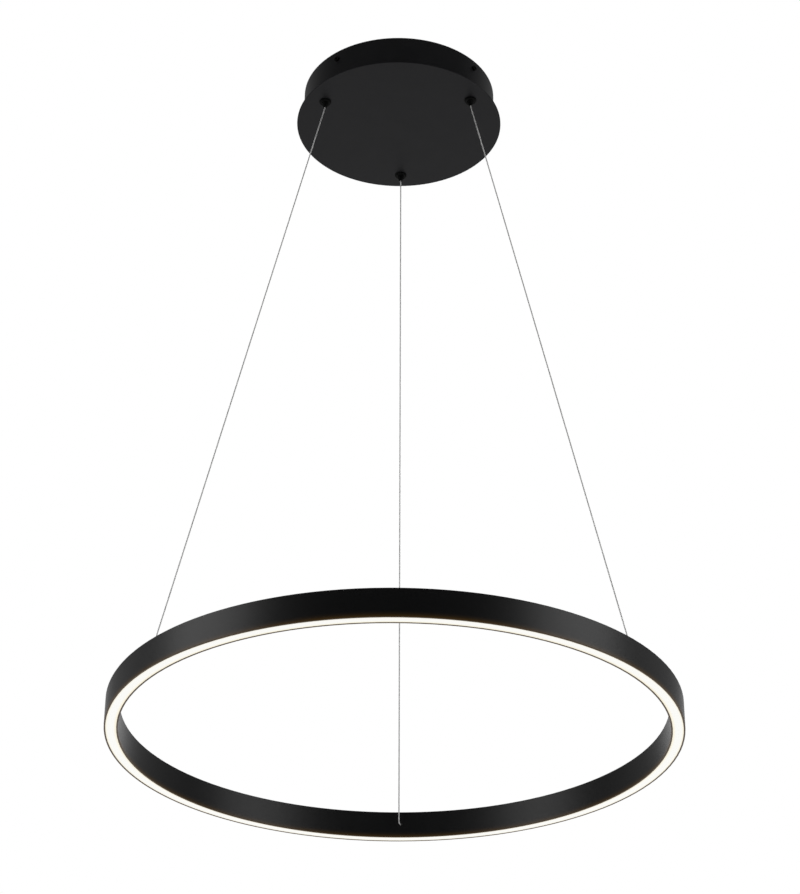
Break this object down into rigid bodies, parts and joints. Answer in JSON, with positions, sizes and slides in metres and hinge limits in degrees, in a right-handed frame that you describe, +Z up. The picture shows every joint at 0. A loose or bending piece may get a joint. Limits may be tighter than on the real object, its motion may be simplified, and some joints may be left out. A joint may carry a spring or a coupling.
{
  "type": "led ring pendant light",
  "caption": "Thin round channel ring with a glowing opal underside, hung on slim wires from a flat round ceiling rose; releasable wire grips set its height.",
  "frame": {"origin": "on the ceiling plane, on the lamp's axis, midway between the two ceiling slots of the bracket", "axes": "+Z up into the ceiling; the lamp hangs along -Z; -Y is the side the picture is taken from"},
  "size_m": [0.6, 0.6, 0.835],
  "materials": {
    "rose_black": "satin",
    "ring_black": "satin",
    "screw_black": "matte",
    "grip_black": "satin",
    "opal": "matte",
    "board_white": "matte",
    "wire_steel": "satin",
    "zinc_steel": "satin",
    "crimp": "satin",
    "driver_white": "matte",
    "terminal_cream": "matte",
    "clamp_brass": "satin",
    "bush_black": "matte"
  },
  "bodies": {
    "canopy": {"ceiling_bracket": "zinc_steel", "canopy_drum": "rose_black", "canopy_face_plate": "rose_black", "side_screws": "screw_black", "driver_base": "driver_white", "driver_lid": "driver_white", "driver_nuts": "zinc_steel", "terminal_block": "terminal_cream", "terminal_clamps": "clamp_brass", "terminal_screws": "zinc_steel", "terminal_nuts": "zinc_steel", "earth_washer": "zinc_steel", "earth_nut": "zinc_steel", "grip_washers": "zinc_steel", "grip_nuts": "zinc_steel", "wire_stops": "crimp", "grip_body_rear": "grip_black", "grip_cap_rear": "grip_black", "grip_spring_rear": "zinc_steel", "wire_tail_rear": "wire_steel", "suspension_wire_rear": "wire_steel", "grip_body_left": "grip_black", "grip_cap_left": "grip_black", "grip_spring_left": "zinc_steel", "wire_tail_left": "wire_steel", "suspension_wire_left": "wire_steel", "grip_body_right": "grip_black", "grip_cap_right": "grip_black", "grip_spring_right": "zinc_steel", "wire_tail_right": "wire_steel", "suspension_wire_right": "wire_steel"},
    "ring": {"ring_profile": "ring_black", "ring_diffuser": "opal", "wire_bushes": "bush_black", "wire_ferrules": "crimp", "led_board_1": "board_white", "led_board_2": "board_white", "led_board_3": "board_white", "led_board_4": "board_white", "wire_end_rear": "wire_steel", "wire_end_left": "wire_steel", "wire_end_right": "wire_steel"},
    "plunger_rear": {"grip_plunger_rear": "grip_black", "grip_balls_rear": "zinc_steel"},
    "plunger_left": {"grip_plunger_left": "grip_black", "grip_balls_left": "zinc_steel"},
    "plunger_right": {"grip_plunger_right": "grip_black", "grip_balls_right": "zinc_steel"}
  },
  "joints": [
    {"name": "ring_height", "type": "slide", "parent": "canopy", "child": "ring", "axis": [0, 0, 1], "range_m": [0, 0.5], "deforming": ["suspension_wire_rear", "suspension_wire_left", "suspension_wire_right"]},
    {"name": "grip_release_rear", "type": "slide", "parent": "canopy", "child": "plunger_rear", "axis": [0, 0, 1], "range_m": [0, 0.0025], "stiffness_N_per_m": 600, "springref_m": -0.004, "deforming": ["grip_spring_rear"]},
    {"name": "grip_release_left", "type": "slide", "parent": "canopy", "child": "plunger_left", "axis": [0, 0, 1], "range_m": [0, 0.0025], "stiffness_N_per_m": 600, "springref_m": -0.004, "deforming": ["grip_spring_left"]},
    {"name": "grip_release_right", "type": "slide", "parent": "canopy", "child": "plunger_right", "axis": [0, 0, 1], "range_m": [0, 0.0025], "stiffness_N_per_m": 600, "springref_m": -0.004, "deforming": ["grip_spring_right"]}
  ]
}
